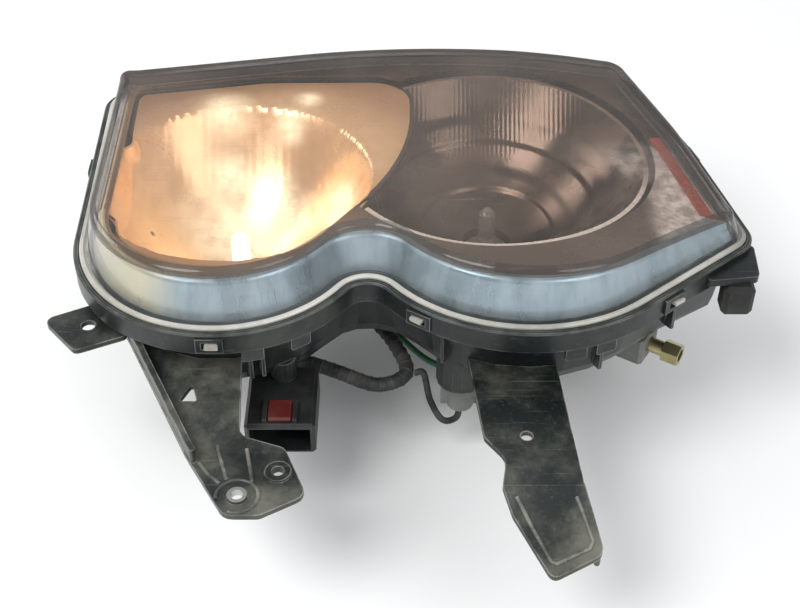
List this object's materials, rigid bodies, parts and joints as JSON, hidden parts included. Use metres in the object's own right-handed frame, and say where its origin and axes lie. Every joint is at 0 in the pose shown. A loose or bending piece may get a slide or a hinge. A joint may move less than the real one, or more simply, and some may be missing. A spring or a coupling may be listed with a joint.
{
  "type": "car headlight assembly",
  "caption": "Car headlight: two-lobed clear lens over overlapping reflector bowls, moulded black housing with bolt-on legs, aiming adjuster, twist-in bulbs and wired connector",
  "frame": {"origin": "the rear face of the inner foot, between its two bolt holes", "axes": "+X to the outer side of the car, +Y up on the car, +Z forwards out of the lens, so that the lamp lies on its back"},
  "size_m": [0.426, 0.4071, 0.1738],
  "materials": {
    "black_plastic": "moulded, dusty",
    "clear_lens": "clear moulded plastic, glossy, brown tint in this light",
    "black_rubber": "moulded",
    "bezel_silver": "satin silver paint",
    "lit_mirror": "mirror coating, gold in this light",
    "dark_mirror": "mirror coating, fluted",
    "side_red": "glossy",
    "plated_gold": "yellow zinc plating",
    "steel": "turned",
    "bulb_glass": "clear",
    "lock_red": "moulded",
    "grey_plastic": "moulded",
    "tape_black": "wound tape"
  },
  "bodies": {
    "housing": {"housing": "black_plastic", "lens": "clear_lens", "lens_seal": "black_rubber", "bezel": "bezel_silver", "side_reflector": "side_red", "inner_leg": "black_plastic", "foot_bush": "steel", "outer_leg": "black_plastic", "inner_boot": "black_rubber", "outer_boot": "black_rubber", "inner_vent_cap": "black_rubber", "outer_vent_cap": "black_rubber", "inner_pivot_stud": "steel", "outer_pivot_stud": "steel", "adjuster_case": "grey_plastic", "case_stud": "plated_gold", "side_bracket": "black_plastic", "bracket_cap": "black_rubber", "connector_body": "black_plastic", "harness_trunk": "tape_black", "inner_wire": "tape_black", "outer_wire": "tape_black", "turn_wire": "tape_black", "marker_wire": "tape_black"},
    "reflectors": {"inner_bowl": "lit_mirror", "outer_bowl": "dark_mirror"},
    "inner_bulb": {"inner_bulb_base": "grey_plastic", "inner_bulb_ring": "black_rubber", "inner_bulb_glass": "bulb_glass"},
    "outer_bulb": {"outer_bulb_base": "grey_plastic", "outer_bulb_ring": "black_rubber", "outer_bulb_glass": "bulb_glass"},
    "adjuster_drive": {"adjuster_drive": "plated_gold"},
    "adjuster_rod": {"adjuster_rod": "steel"},
    "turn_lamp": {"turn_socket": "grey_plastic", "turn_gasket": "black_rubber", "turn_bulb": "bulb_glass"},
    "marker_lamp": {"marker_socket": "grey_plastic", "marker_gasket": "black_rubber", "marker_bulb": "bulb_glass"},
    "connector_lock": {"connector_lock": "lock_red"}
  },
  "joints": [
    {"name": "adjuster_spin", "type": "hinge", "parent": "housing", "child": "adjuster_drive", "pos_m": [0.228, 0.151, -0.027], "axis": [0.848, -0.5299, 0], "range_deg": [-1080, 1080]},
    {"name": "reflector_tilt", "type": "hinge", "parent": "housing", "child": "reflectors", "pos_m": [0.078, 0.193, 0.0215], "axis": [1, 0, 0], "range_deg": [-2.01, 2.01]},
    {"name": "rod_slide", "type": "slide", "parent": "housing", "child": "adjuster_rod", "axis": [0, 0, 1], "range_m": [-0.00147, 0.00147]},
    {"name": "inner_bulb_twist", "type": "hinge", "parent": "reflectors", "child": "inner_bulb", "pos_m": [-0.026, 0.194, -0.0225], "axis": [0, 0, 1], "range_deg": [0, 40]},
    {"name": "outer_bulb_twist", "type": "hinge", "parent": "reflectors", "child": "outer_bulb", "pos_m": [0.136, 0.221, -0.0225], "axis": [0, 0, 1], "range_deg": [0, 40]},
    {"name": "turn_lamp_twist", "type": "hinge", "parent": "housing", "child": "turn_lamp", "pos_m": [0.116, 0.111, -0.0263], "axis": [0, 0, 1], "range_deg": [0, 40]},
    {"name": "marker_lamp_twist", "type": "hinge", "parent": "housing", "child": "marker_lamp", "pos_m": [0.243, 0.201, -0.0263], "axis": [0, 0, 1], "range_deg": [0, 40]},
    {"name": "lock_slide", "type": "slide", "parent": "housing", "child": "connector_lock", "axis": [0, -1, 0], "range_m": [0, 0.004]}
  ],
  "couplings": [
    {"joint": "reflector_tilt", "follows": "adjuster_spin", "ratio": 0.0018518},
    {"joint": "rod_slide", "follows": "adjuster_spin", "m_per_rad": -0.000077778}
  ]
}
